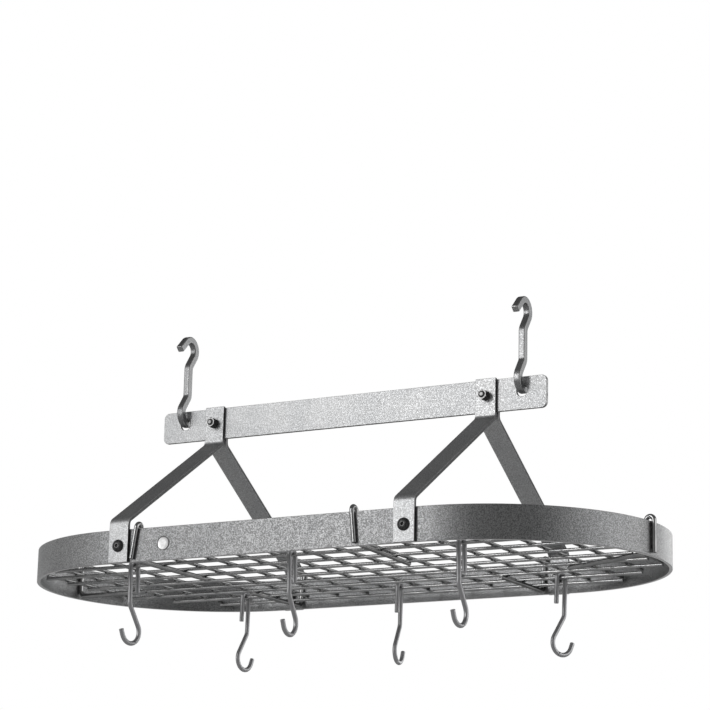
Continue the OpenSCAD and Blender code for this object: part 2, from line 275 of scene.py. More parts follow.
def carried(stock: RoundStock | FlatStock, path: Path, side: np.ndarray, soft: float = 0.0) -> Shell:
    """Stock carried along a path: path(s) + a side(s) + b (heading(s) x side(s)), with (a, b) round the stock.

    Each end is softened by a quarter circle: at the angle p the ring lies soft (1 - sin p) from the end and is
    drawn in by soft (1 - cos p). A ring close to either side of it keeps the end and the sides flat.

    Args:
        stock: What the piece is made of.
        path: Where its middle runs.
        side: Direction of the stock's first axis, which is made square to the path.
        soft: Radius of the softened ends.

    Returns:
        The closed shell.
    """
    quarter = np.linspace(0.0, np.pi / 2.0, 5) if soft else np.zeros(1)
    hold_back, hold_in = 0.4, 0.3
    back = np.concatenate([[soft + hold_back], soft * (1.0 - np.sin(quarter)), [0.0]])
    inset = np.concatenate([[0.0], soft * (1.0 - np.cos(quarter)), [soft + hold_in]])
    first, last = path.headings[0], path.headings[-1]
    middle = np.concatenate([
        path.points[0] + np.outer(back[::-1], first), path.points[1:-1], path.points[-1] - np.outer(back, last)
    ])
    ends = [np.tile(way, (len(back), 1)) for way in (first, last)]
    heading = np.concatenate([ends[0], path.headings[1:-1], ends[1]])
    insets = np.concatenate([inset[::-1], np.zeros(len(path.points) - 2), inset])
    across = side - heading * (heading @ side)[:, None]
    across /= np.linalg.norm(across, axis=1, keepdims=True)
    other = np.cross(heading, across)
    section = np.stack([stock.ring(i) for i in insets])
    rings = middle[:, None] + section[..., :1] * across[:, None] + section[..., 1:] * other[:, None]
    worn = np.maximum(stock.worn()[None], (np.abs(insets) > 0.0)[:, None] * 1.0)
    return lattice(rings, Ending.FLAT, worn)


def turned(radius: np.ndarray, height: np.ndarray, ending: Ending, wear: np.ndarray | float = 0.0) -> Shell:
    """Surface about the Z axis, with the point at angle t on each ring at (r cos t, r sin t, h).

    Args:
        radius: Radius, as (ring, point on the ring).
        height: Height, spread over the same grid.
        ending: How the rings come to their ends.
        wear: How worn each point is.

    Returns:
        The closed shell.
    """
    radius, height = np.broadcast_arrays(radius, height)
    angle = np.arange(radius.shape[1]) * 2.0 * np.pi / radius.shape[1]
    rings = np.stack([radius * np.cos(angle), radius * np.sin(angle), height], axis=-1)
    return lattice(rings, ending, wear)


def hexagon(across_flats: float, sides: int) -> np.ndarray:
    """Radius of a hexagon with a corner at angle 0: half its width over the cosine of the angle from a flat.

    Args:
        across_flats: Width of the hexagon across its flats.
        sides: How many points the ring has.

    Returns:
        The radius at each point, as (point,).
    """
    angle = np.arange(sides) * 2.0 * np.pi / sides
    return across_flats / 2.0 / np.cos(np.mod(angle, np.pi / 3.0) - np.pi / 6.0)


def banded(bands: list[tuple[object, ...]], sides: int) -> tuple[np.ndarray, ...]:
    """Rings written one band at a time, such as (radius, height, wear), spread over the points of each ring.

    Args:
        bands: The bands, whose values are numbers, or arrays as (ring, point on the ring).
        sides: How many points each ring has.

    Returns:
        The rings of all bands, one array for each value.
    """
    spread = [np.broadcast_arrays(*band, np.ones((1, sides)))[:-1] for band in bands]
    return tuple(np.concatenate(column) for column in zip(*spread))


# Finishes


class Wired:
    """A shader socket with Python's operators, each of which adds one Math node."""

    def __init__(self, bench: "Bench", socket: bpy.types.NodeSocket) -> None:
        """Keeps the bench that makes the nodes, and the socket.

        Args:
            bench: The material's or the world's node bench.
            socket: The output socket.
        """
        self.bench = bench
        self.socket = socket

    def maths(self, operation: str, *values: object) -> "Wired":
        """One Math node on the given values.

        Args:
            operation: The node's operation.
            values: Numbers or sockets, in the node's order.

        Returns:
            The node's result.
        """
        return self.bench.node("ShaderNodeMath", {"operation": operation}, dict(enumerate(values)))

    def __add__(self, other: object) -> "Wired":
        """Sum."""
        return self.maths("ADD", self, other)

    def __radd__(self, other: object) -> "Wired":
        """Sum, reflected."""
        return self.maths("ADD", other, self)

    def __sub__(self, other: object) -> "Wired":
        """Difference."""
        return self.maths("SUBTRACT", self, other)

    def __rsub__(self, other: object) -> "Wired":
        """Difference, reflected."""
        return self.maths("SUBTRACT", other, self)

    def __mul__(self, other: object) -> "Wired":
        """Product."""
        return self.maths("MULTIPLY", self, other)

    def __rmul__(self, other: object) -> "Wired":
        """Product, reflected."""
        return self.maths("MULTIPLY", other, self)

    def most(self, other: object) -> "Wired":
        """The larger of two values."""
        return self.maths("MAXIMUM", self, other)

    def between(self, low: float, high: float) -> "Wired":
        """Smooth step of the value from low to high.

        Args:
            low: Value that gives 0.
            high: Value that gives 1.

        Returns:
            The step, from 0 to 1.
        """
        settings = {"interpolation_type": "SMOOTHSTEP"}
        return self.bench.node("ShaderNodeMapRange", settings, {0: self, 1: low, 2: high, 3: 0.0, 4: 1.0})


class Bench:
    """Makes and wires the nodes of one material or world."""

    def __init__(self, tree: bpy.types.NodeTree) -> None:
        """Starts on an empty tree.

        Args:
            tree: The node tree.
        """
        self.tree = tree
        tree.nodes.clear()

    def node(
        self,
        kind: str,
        settings: dict[str, object] | None = None,
        inputs: dict[int | str, object] | None = None,
        output: int | str = 0,
    ) -> Wired:
        """One node, with its settings made first and its sockets filled or linked after them.

        Args:
            kind: The node's type.
            settings: Its settings by name.
            inputs: Numbers, colours or wired sockets by the socket's name or place.
            output: Which of its outputs is wanted.

        Returns:
            That output.
        """
        made = self.tree.nodes.new(kind)
        for name, value in (settings or {}).items():
            setattr(made, name, value)
        for name, value in (inputs or {}).items():
            socket = made.inputs[name]
            if isinstance(value, Wired):
                self.tree.links.new(value.socket, socket)
            else:
                socket.default_value = value
        return Wired(self, made.outputs[output])

    def mix(self, factor: object, first: object, second: object) -> Wired:
        """Colour between two colours.

        Args:
            factor: How much of the second colour.
            first: The first colour.
            second: The second colour.

        Returns:
            The colour.
        """
        return self.node("ShaderNodeMix", {"data_type": "RGBA"}, {0: factor, 6: first, 7: second}, 2)

    def dot(self, first: Wired, second: tuple[float, float, float]) -> Wired:
        """Dot product of a vector with a fixed one.

        Args:
            first: The vector.
            second: The fixed vector.

        Returns:
            The product.
        """
        return self.node("ShaderNodeVectorMath", {"operation": "DOT_PRODUCT"}, {0: first, 1: second}, 1)

    def place(self) -> Wired:
        """Position in the piece's own coordinates, in metres."""
        return self.node("ShaderNodeTexCoord", output="Object")

    def stretched(self, place: Wired, scale: tuple[float, float, float]) -> Wired:
        """Position drawn out along the axes.

        Args:
            place: The position.
            scale: Scale on each axis.

        Returns:
            The new position.
        """
        return self.node("ShaderNodeMapping", None, {"Vector": place, "Scale": scale})

    def noise(self, place: Wired, scale: float, detail: float = 2.0, rough: float = 0.5) -> Wired:
        """Noise from 0 to 1.

        Args:
            place: The position.
            scale: Grains per metre.
            detail: How many finer layers it has.
            rough: How strong they are.

        Returns:
            The noise.
        """
        return self.node(
            "ShaderNodeTexNoise", None, {"Vector": place, "Scale": scale, "Detail": detail, "Roughness": rough}
        )

    def attribute(self, name: str) -> Wired:
        """Value of a point attribute of the piece."""
        return self.node("ShaderNodeAttribute", {"attribute_name": name}, output="Fac")

    def bump(self, height: Wired, distance: float) -> Wired:
        """Normal that follows a height.

        Args:
            height: The height, from 0 to 1.
            distance: Its range, in metres.

        Returns:
            The normal.
        """
        return self.node("ShaderNodeBump", None, {"Height": height, "Distance": distance, "Strength": 1.0})

    def surface(self, **sockets: object) -> None:
        """The Principled shader and the material's output.

        Args:
            sockets: Values or links for the shader's sockets, with _ for a space in a name.
        """
        inputs = {name.replace("_", " "): value for name, value in sockets.items()}
        shader = self.node("ShaderNodeBsdfPrincipled", None, inputs)
        self.node_output("ShaderNodeOutputMaterial", shader)

    def node_output(self, kind: str, shader: Wired) -> None:
        """The tree's output.

        Args:
            kind: The output node's type.
            shader: What it shows.
        """
        made = self.tree.nodes.new(kind)
        self.tree.links.new(shader.socket, made.inputs["Surface"])


def grey(level: float, warmth: float = 0.0) -> tuple[float, float, float, float]:
    """Grey of a level, a little warm or cool.

    Args:
        level: Its linear brightness.
        warmth: How much more red than blue it has.

    Returns:
        The colour.
    """
    return (level * (1.0 + warmth), level, level * (1.0 - warmth), 1.0)


@dataclass(frozen=True)
class Finish:
    """A finish by name, which makes its material once."""

    name: str

    def material(self) -> bpy.types.Material:
        """The finish's material, made at its first use.

        Returns:
            The material.
        """
        made = bpy.data.materials.get(self.name)
        if made is None:
            made = bpy.data.materials.new(self.name)
            made.use_nodes = True
            self.wire(Bench(made.node_tree))
        return made

    def wire(self, bench: Bench) -> None:
        """Lays out the material's nodes.

        Args:
            bench: The bench to lay them out on.
        """
        raise NotImplementedError


@dataclass(frozen=True)
class HammeredSteel(Finish):
    """Grey hammered finish: small lumps, a salt and pepper grain, worn corners, and painted light and shade on
    the faces that point along chosen axes.
    """

    level: float = 0.55
    pepper: float = 0.3
    roughness: float = 0.36
    metallic: float = 0.9
    edge_tint: float = 0.35
    # Faces that point along these axes are painted to the level below: painted shade when it is low, a painted
    # highlight when it is high.
    painted_light_ways: tuple[float, float, float] = (0.0, 0.0, 0.0)
    painted_light_level: float = 0.02

    def wire(self, bench: Bench) -> None:
        """Lays out the grain, the lumps, the broad clouds, the worn corners and the painted light and shade on
        the faces that point along chosen axes.

        Args:
            bench: The bench to lay them out on.
        """
        place = bench.place()
        grain = bench.noise(place, 760.0, 3.0, 0.6).between(0.38, 0.62)
        specks = bench.noise(place, 460.0, 2.0, 0.5).between(0.52, 0.70)
        cells = {"Vector": place, "Scale": 420.0, "Smoothness": 0.8}
        lumps = bench.node("ShaderNodeTexVoronoi", {"feature": "SMOOTH_F1"}, cells)
        clouds = bench.noise(place, 16.0, 3.0, 0.55).between(0.3, 0.7)
        low, high = self.level * (1.0 - self.pepper), self.level * (1.0 + 0.4 * self.pepper)
        dark = bench.mix(clouds, grey(low * 0.96, -0.012), grey(low * 1.08))
        light = bench.mix(clouds, grey(high * 0.96, -0.012), grey(high * 1.06, -0.008))
        tone = bench.mix(grain * (1.0 - 0.8 * specks), dark, light)
        scuffs = bench.noise(place, 90.0, 3.0, 0.6).between(0.35, 0.6)
        worn = bench.attribute("wear").between(0.3, 1.0) * (0.35 + 0.65 * scuffs)
        # Painted light and shade: faces that point along the chosen axes take a set grey, dark for shade, light
        # for a highlight.
        facing = bench.node("ShaderNodeTexCoord", output="Normal")
        sideways = bench.node("ShaderNodeVectorMath", {"operation": "ABSOLUTE"}, {0: facing})
        painted_light_mask = bench.dot(sideways, self.painted_light_ways).between(0.5, 0.85)
        skin = bench.mix(0.85 * painted_light_mask, tone, grey(self.painted_light_level))
        colour = bench.mix(0.6 * worn, skin, grey(min(self.level * 1.4, 0.8)))
        height = 0.6 * lumps + 0.4 * grain
        bench.surface(
            Base_Color=colour,
            Metallic=self.metallic,
            Roughness=self.roughness + 0.1 * (1.0 - grain) - 0.08 * worn,
            Specular_Tint=grey(self.edge_tint),
            Normal=bench.bump(height, 0.00012),
        )


@dataclass(frozen=True)
class DrawnSteel(Finish):
    """Drawn rod or wire: fine scratches, broad clouds of tone and now and then a dark scale mark."""

    level: float = 0.45
    scale_mark: float = 0.5
    roughness: float = 0.25
    edge_tint: float = 0.2
    scratch: float = 0.00006

    def wire(self, bench: Bench) -> None:
        """Lays out the clouds, the marks and the scratches.

        Args:
            bench: The bench to lay them out on.
        """
        place = bench.place()
        clouds = bench.noise(place, 45.0, 4.0, 0.6).between(0.3, 0.7)
        marks = bench.noise(place, 170.0, 3.0, 0.6).between(0.58, 0.74)
        fine = bench.noise(place, 1500.0, 2.0, 0.5)
        tone = bench.mix(clouds, grey(self.level * 0.8, -0.01), grey(self.level * 1.15, 0.005))
        colour = bench.mix(self.scale_mark * marks, tone, grey(self.level * 0.25))
        bench.surface(
            Base_Color=colour,
            Metallic=1.0,
            Specular_Tint=grey(self.edge_tint),
            Roughness=self.roughness + 0.1 * fine + 0.15 * marks,
            Normal=bench.bump(0.7 * fine + 0.3 * clouds, self.scratch),
        )


@dataclass(frozen=True)
class BlackOxide(Finish):
    """Black bolts and nuts, worn to bare steel along their edges."""

    level: float = 0.06
    bare: float = 0.65

    def wire(self, bench: Bench) -> None:
        """Lays out the black skin and the worn edges.

        Args:
            bench: The bench to lay them out on.
        """
        place = bench.place()
        patches = bench.noise(place, 500.0, 3.0, 0.6)
        worn = bench.attribute("wear") * (0.4 + 0.6 * patches.between(0.3, 0.55))
        skin = bench.mix(patches.between(0.35, 0.65), grey(self.level * 0.7), grey(self.level * 1.6))
        bench.surface(
            Base_Color=bench.mix(worn, skin, grey(self.bare)),
            Metallic=0.9,
            Roughness=0.34 + 0.2 * patches - 0.08 * worn,
            Normal=bench.bump(patches, 0.00008),
        )


@dataclass(frozen=True)
class BrushedDisc(Finish):
    """Plain bright disc, brushed in one direction, with painted shade along its side and its lip."""

    level: float = 0.62

    def wire(self, bench: Bench) -> None:
        """Lays out the brush lines and the painted shade along the edges.

        Args:
            bench: The bench to lay them out on.
        """
        place = bench.place()
        lines = bench.noise(bench.stretched(place, (0.06, 1.0, 1.0)), 2600.0, 2.0, 0.6)
        soft = bench.noise(place, 260.0, 3.0, 0.6).between(0.3, 0.7)
        # Painted shade: the points that the wear attribute marks, along the side and the lip, are painted dark.
        painted_edge_shade = bench.attribute("wear")
        tone = bench.mix(0.5 * lines + 0.5 * soft, grey(self.level * 0.7), grey(self.level * 1.2))
        bench.surface(
            Base_Color=bench.mix(painted_edge_shade, tone, grey(self.level * 0.1)),
            Metallic=0.95,
            Roughness=0.24 + 0.16 * lines,
            Normal=bench.bump(lines, 0.00005),
        )


# The bar's top, bottom and end faces are painted dark as painted shade.
HAMMERED_BAR = HammeredSteel(
    "hammered_bar", level=0.57, pepper=0.30, edge_tint=0.3, painted_light_ways=(1.0, 0.0, 1.0)
)
# The straps' side faces are painted dark as painted shade.
HAMMERED_STRAP = HammeredSteel(
    "hammered_strap", level=0.60, pepper=0.30, edge_tint=0.4, painted_light_ways=(1.0, 0.0, 0.0)
)
# The rim's top and bottom faces are painted light as a painted highlight.
HAMMERED_RIM = HammeredSteel(
    "hammered_rim",
    level=0.34,
    pepper=0.50,
    roughness=0.34,
    edge_tint=1.0,
    painted_light_ways=(0.0, 0.0, 1.0),
    painted_light_level=0.8,
)
HAMMERED_HOOK = HammeredSteel("hammered_ceiling_hook", level=0.36, pepper=0.12, roughness=0.25)
GRID_ROD = DrawnSteel("grid_rod", level=0.46, scale_mark=0.4, roughness=0.20)
CLIP_WIRE = DrawnSteel("clip_wire", level=0.42, scale_mark=0.35, roughness=0.12, scratch=0.00003)
HOOK_WIRE = DrawnSteel("hook_wire", level=0.42, scale_mark=0.25, roughness=0.06, edge_tint=0.0, scratch=0.00002)
BLACK_BOLT = BlackOxide("black_bolt")
BADGE_DISC = BrushedDisc("badge_disc")


def put(
    name: str, body: str, finish: Finish, shells: list[Shell], nodes: tuple[str, ...] = ()
) -> None:
    """Puts shells into the scene as one piece, and says what carries it and what it stands for.

    Args:
        Puts shells into the scene as one piece on the body that carries it, and hides the CAD nodes that it
        stands for.
        body: The body that it rides on.
        finish: Its finish.
        shells: Its closed shells, in millimetres over the rim's lower edge.
        nodes: The CAD nodes that it stands for.
    """
    shell = together(shells)
    mesh = bpy.data.meshes.new(name)
    points = (shell.points - HANG_HEIGHT * UP) * MILLIMETRE
    faces = [face for group in shell.rounded + shell.flat for face in group.tolist()]
    mesh.from_pydata(points.tolist(), [], faces)
    mesh.polygons.foreach_set("use_smooth", np.ones(len(faces), bool))
    mesh.attributes.new("wear", "FLOAT", "POINT").data.foreach_set("value", shell.wear.astype(np.float32))
    mesh.materials.append(finish.material())
    mesh.update()
    piece = bpy.data.objects.new(name, mesh)
    bpy.context.scene.collection.objects.link(piece)
    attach(piece, body)
    if nodes:
        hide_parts(*nodes)
    log.info("%s: %d faces on %s", name, len(faces), body)


# The rack's pieces


class Side(Enum):
    """Long sides of the rack."""

    FRONT = -1
    REAR = 1


@dataclass
class Rim:
    """Oval rim of flat stock: two straight sides and two half circles."""

    length: float = 914.4
    width: float = 449.0
    height: float = 44.45
    thick: float = FLAT_THICK
    edge: float = 0.7
    end_points: int = 73
    side_points: int = 25

    def end_x(self) -> float:
        """Distance from the middle to the centre of a round end."""
        return (self.length - self.width) / 2.0

    def path(self) -> Path:
        """Closed line round the middle of the stock, with the two straight sides split into short pieces.

        Returns:
            The path, which doesn't repeat its first point.
        """
        radius = (self.width - self.thick) / 2.0
        turn = np.linspace(-np.pi / 2.0, np.pi / 2.0, self.end_points)
        run = np.linspace(0.0, 1.0, self.side_points)[1:-1]
        x0 = self.end_x()
        right = np.stack([x0 + radius * np.cos(turn), radius * np.sin(turn)], axis=-1)
        back = np.stack([x0 * (1.0 - 2.0 * run), np.full(run.shape, radius)], axis=-1)
        half = np.concatenate([right, back])
        ways = np.concatenate([
            np.stack([-np.sin(turn), np.cos(turn)], axis=-1), np.tile([-1.0, 0.0], (len(run), 1))
        ])
        plan = np.concatenate([half, -half])
        heading = np.concatenate([ways, -ways])
        level = np.full(len(plan), self.height / 2.0)
        return Path(np.column_stack([plan, level]), np.column_stack([heading, 0.0 * level]))

    def build(self) -> list[Shell]:
        """Flat stock carried round the oval: middle + a up + b out.

        Returns:
            The rim's shell.
        """
        stock = FlatStock(self.height, self.thick, self.edge)
        path = self.path()
        out = np.cross(path.headings, UP)
        section = stock.ring()
        rings = path.points[:, None] + section[:, :1] * UP + section[:, 1:] * out[:, None]
        return [lattice(rings, Ending.WRAP, stock.worn())]

    def dress(self) -> None:
        """Puts the rim into the scene."""
        put("rim_band", "rack", HAMMERED_RIM, self.build(), ("rim",))


@dataclass
class TopBar:
    """Bar between the straps, with rounded corners and a hole for each ceiling hook."""

    half_length: float = 300.5
    low: float = 210.4
    height: float = 44.45
    thick: float = FLAT_THICK
    corner: float = 8.0
    hole_x: float = HOOK_X
    hole_z: float = 235.95
    hole_r: float = 7.94
    joint_x: float = STRAP_X
    edge: float = 0.6
    brim: float = 0.96
    joint_pull: float = 0.4

    def outline(self, inset: float, pull: float = 0.0) -> np.ndarray:
        """Edge of an end plate: a rectangle from the joint to the bar's end, with its two far corners rounded.

        Args:
            inset: How far the line lies inside the edge, except at the joint.
            pull: How far it starts past the joint.

        Returns:
            The points, as (point, 2), the same number for every inset.
        """
        radius = self.corner - inset
        near = self.joint_x + pull
        cx = self.half_length - self.corner
        low, high = self.low + self.corner, self.low + self.height - self.corner
        arc = np.linspace(0.0, np.pi / 2.0, 13)
        run = np.linspace(0.0, 1.0, 17)
        upright = run[2:-1:2]
        bottom = np.column_stack([near + (cx - near) * run[:-1], np.full(len(run) - 1, low - radius)])
        first = np.column_stack([cx + radius * np.sin(arc), low - radius * np.cos(arc)])
        end = np.column_stack([np.full(len(upright), cx + radius), low + (high - low) * upright])
        second = np.column_stack([cx + radius * np.cos(arc), high + radius * np.sin(arc)])
        top = np.column_stack([cx + (near - cx) * run[1:], np.full(len(run) - 1, high + radius)])
        joint_z = (high + radius) + ((low - radius) - (high + radius)) * upright
        joint = np.column_stack([np.full(len(upright), near), joint_z])
        return np.concatenate([bottom, first, end, second, top, joint])

    def end_plate(self) -> Shell:
        """Plate round one hook hole: a closed band of lines between its edge and the hole, from face to face.

        Each line is the edge or the hole, drawn in or out by soft (1 - cos p) while its depth is
        soft (1 - sin p) inside the face. A point of the hole lies at the same angle from its centre as its
        partner on the edge. The second face repeats the first one's lines in the opposite order and depth.

        Returns:
            The plate on the right-hand side.
        """
        half = self.thick / 2.0
        centre = np.array([self.hole_x, self.hole_z])
        way = self.outline(0.0) - centre
        away = np.linalg.norm(way, axis=1, keepdims=True)
        quarter = np.linspace(0.0, np.pi / 2.0, 4)
        marks = [(self.edge * (1 - math.cos(p)), half - self.edge * (1 - math.sin(p)), 1.0) for p in quarter]
        marks.append((self.brim, half, 0.0))
        pulls = [0.0] * len(quarter) + [self.joint_pull]
        edge = [(self.outline(inset, pull), deep, wear) for (inset, deep, wear), pull in zip(marks, pulls)]
        hole = [(centre + (self.hole_r + inset) * way / away, deep, wear) for inset, deep, wear in marks]
        face = edge + hole[::-1]
        rings = [
            np.column_stack([line[:, 0], np.full(len(line), side * deep), line[:, 1]])
            for side, lines in ((-1.0, face), (1.0, face[::-1]))
            for line, deep, _ in lines
        ]
        worn = [wear for _, _, wear in face + face[::-1]]
        return lattice(np.stack(rings), Ending.WRAP, np.array(worn)[:, None])

    def build(self) -> list[Shell]:
        """The middle of the bar and a plate at each end.

        Returns:
            The three shells, which meet under the straps.
        """
        middle_z = self.low + self.height / 2.0
        ends = np.array([[-self.joint_x, 0.0, middle_z], [self.joint_x, 0.0, middle_z]])
        stock = FlatStock(self.height, self.thick, self.edge)
        plate = self.end_plate()
        mirrored = Shell(plate.points * [-1.0, 1.0, 1.0], plate.rounded, plate.flat, plate.wear).outward()
        return [carried(stock, bent_path(ends, []), UP), plate, mirrored]

    def dress(self) -> None:
        """Puts the bar into the scene."""
        put("top_bar_plate", "rack", HAMMERED_BAR, self.build(), ("top_bar",))


@dataclass
class Straps:
    """Four bent straps from the bar down to the rim."""

    spread: float = STRAP_X
    width: float = 30.0
    thick: float = FLAT_THICK
    foot_y: float = STRAP_FOOT_Y
    top_y: float = STRAP_TOP_Y
    knee_z: float = 57.0
    shoulder_z: float = 202.95
    top_z: float = 256.15
    bend: float = 9.62
    edge: float = 0.6

    def build(self, x: float, side: Side) -> Shell:
        """Flat stock along the strap's middle line, which lies half the stock's thickness inside its face.

        Args:
            x: Where the strap stands along the rack.
            side: The side that it comes down on.

        Returns:
            The strap's shell.
        """
        slope = math.atan2(self.foot_y - self.top_y, self.shoulder_z - self.knee_z)
        half = self.thick / 2.0
        lower = half * math.tan(slope / 2.0)
        line = [
            [x, side.value * (self.foot_y - half), 0.0],
            [x, side.value * (self.foot_y - half), self.knee_z - lower],
            [x, side.value * (self.top_y - half), self.shoulder_z - lower],
            [x, side.value * (self.top_y - half), self.top_z],
        ]
        stock = FlatStock(self.width, self.thick, self.edge)
        return carried(stock, bent_path(line, [self.bend, self.bend], 14), ALONG, self.edge)

    def dress(self) -> None:
        """Puts the four straps into the scene."""
        for side in Side:
            for hand, x in (("left", -self.spread), ("right", self.spread)):
                node = f"strap_{side.name.lower()}_{hand}"
                put(f"{node}_bent", "rack", HAMMERED_STRAP, [self.build(x, side)], (node,))


@dataclass
class Fasteners:
    """Button-head bolts with hexagon sockets and rolled threads, and chamfered hexagon nuts."""

    spread: float = STRAP_X
    foot_y: float = STRAP_FOOT_Y
    top_y: float = STRAP_TOP_Y
    inside_y: float = 219.74
    low_z: float = 22.225
    high_z: float = 232.45
    low_length: float = 19.05
    high_length: float = 27.2
    shank_r: float = 3.97
    head_r: float = 8.25
    head_h: float = 4.5
    socket_af: float = 4.763
    socket_deep: float = 2.6
    thread_pitch: float = 1.41
    thread_deep: float = 0.45
    thread_length: float = 14.0
    thread_fade: float = 1.4
    nut_af: float = 12.7
    nut_h: float = 6.7
    lock_nut_h: float = 11.3
    sides: int = 48

    def bolt(self, length: float) -> Shell:
        """Bolt along Z with the underside of its head at 0.

        From the end up: a flat face, a chamfer and a thread whose radius at the angle t and height h is
        shank - deep |2 frac(h / pitch - t / 2 pi) - 1|, then the plain shank, the head's underside, its domed
        side and top at h = H (0.2 + 0.8 sqrt(1 - r^2 / R^2)), and the hexagon socket down to its floor.

        Args:
            length: Length under the head.

        Returns:
            The bolt's shell.
        """
        shank, head = self.shank_r, self.head_r
        turn = np.arange(self.sides) / self.sides
        rows = np.arange(-length, -length + self.thread_length, self.thread_pitch / 8.0)[:, None]
        wave = np.abs(2.0 * np.mod(rows / self.thread_pitch - turn, 1.0) - 1.0)
        fade = np.clip((-length + self.thread_length - rows) / self.thread_fade, 0.0, 1.0)
        thread = np.minimum(shank - self.thread_deep * fade * wave, shank - 1.0 + (rows + length))
        dome = head * np.cos(np.linspace(0.0, np.arccos(self.socket_af * 0.66 / head), 12)[:, None])
        mouth, socket = (hexagon(width, self.sides) for width in (self.socket_af + 0.35, self.socket_af))
        floor = self.head_h - self.socket_deep

        def dome_z(r: np.ndarray) -> np.ndarray:
            """Height of the head's top at a radius."""
            return self.head_h * (0.2 + 0.8 * np.sqrt(1.0 - (r / head) ** 2))

        radius, height, worn = banded([
            (0.45 * shank, -length, 0.6),
            (0.7 * shank, -length, 0.1),
            (thread, rows, 0.9 * (thread > shank - 0.12)),
            (shank, 0.0, 0.0),
            (head - 0.3, 0.0, 0.0),
            (head, 0.3, 0.3),
            (dome, dome_z(dome), 0.0),
            (mouth, dome_z(mouth), 0.8),
            (socket, dome_z(socket) - 0.15, 0.3),
            (socket, floor, 0.0),
            (0.5 * socket, floor - 0.5, 0.0),
        ], self.sides)
        return turned(radius, height, Ending.POLE, worn)

    def nut(self, height: float) -> Shell:
        """Nut along Z from 0: a hexagon whose ends are trimmed by cones at 30 degrees, with a countersunk bore.

        Args:
            height: The nut's height.

        Returns:
            The nut's shell, with its far face painted bright.
        """
        out = hexagon(self.nut_af, self.sides)
        face = self.nut_af / 2.0 * 0.97
        drop = np.tan(np.radians(30.0)) * (out - face)
        bore = self.shank_r + 0.05
        radius, low = banded([
            (bore, 0.5),
            (bore + 0.5, 0.0),
            (face - 0.3, 0.0),
            (face, 0.0),
            (out, drop),
            (out, drop + 0.3),
        ], self.sides)
        radius = np.concatenate([radius, radius[::-1]])
        rows = np.concatenate([low, height - low[::-1]])
        # The last rows paint the far face bright through the wear values.
        worn = np.array([0.0, 0.2, 0.2, 0.3, 0.2, 0.0, 0.0, 0.4, 1.0, 1.0, 1.0, 0.0])[:, None]
        return turned(radius, rows, Ending.WRAP, worn)

    def dress(self) -> None:
        """Puts the bolts and the nuts into the scene."""
        ends, foot, inside = (-self.spread, self.spread), self.foot_y, self.inside_y
        spots = [(x, s) for x in ends for s in (-1.0, 1.0)]
        low_bolt, high_bolt = self.bolt(self.low_length), self.bolt(self.high_length)
        nut, lock_nut = self.nut(self.nut_h), self.nut(self.lock_nut_h)
        flat_up = np.array([math.cos(math.radians(30.0)), 0.0, math.sin(math.radians(30.0))])
        sets = {
            "rim_bolts": [low_bolt.moved([x, s * foot, self.low_z], ALONG, s * ACROSS) for x, s in spots],
            "rim_nuts": [nut.moved([x, s * inside, self.low_z], ALONG, -s * ACROSS) for x, s in spots],
            "bar_bolts": [high_bolt.moved([x, self.top_y, self.high_z], ALONG, ACROSS) for x in ends],
            "bar_nuts": [lock_nut.moved([x, -self.top_y, self.high_z], flat_up, -ACROSS) for x in ends],
        }
        for name, shells in sets.items():
            node = name.replace("rim", "lower").replace("bar", "upper")
            put(name, "rack", BLACK_BOLT, shells, (node,))


@dataclass
class Badge:
    """Blank round badge with a raised lip."""

    x: float = -145.0
    z: float = 22.225
    face_y: float = -224.5
    radius: float = 9.25
    thick: float = 0.9
    lip: float = 0.8

    def build(self) -> Shell:
        """Disc turned about its middle: a rounded side, the lip, and a recess half the thickness deep.

        Returns:
            The badge's shell.
        """
        r, t = self.radius, self.thick
        inner = r - self.lip
        line = np.array([
            [r * 0.5, 0.0], [r - 0.1, 0.0], [r, 0.1], [r, t - 0.25], [r - 0.07, t - 0.07], [r - 0.25, t],
            [inner + 0.12, t], [inner, t - 0.12], [inner - 0.05, t / 2.0 + 0.05], [inner - 0.2, t / 2.0],
            [inner * 0.5, t / 2.0],
        ])
        # These values mark the side and the lip for painted shade in the badge's finish.
        worn = np.array([0, 0, 1, 1, 1, 0.9, 0.9, 1, 1, 0.2, 0])[:, None]
        around = np.ones((1, 48))
        return turned(line[:, :1] * around, line[:, 1:] * around, Ending.POLE, worn)

    def dress(self) -> None:
        """Puts the badge into the scene."""
        shell = self.build().moved([self.x, self.face_y, self.z], ALONG, -ACROSS)
        put("badge_disc_blank", "rack", BADGE_DISC, [shell], ("badge",))


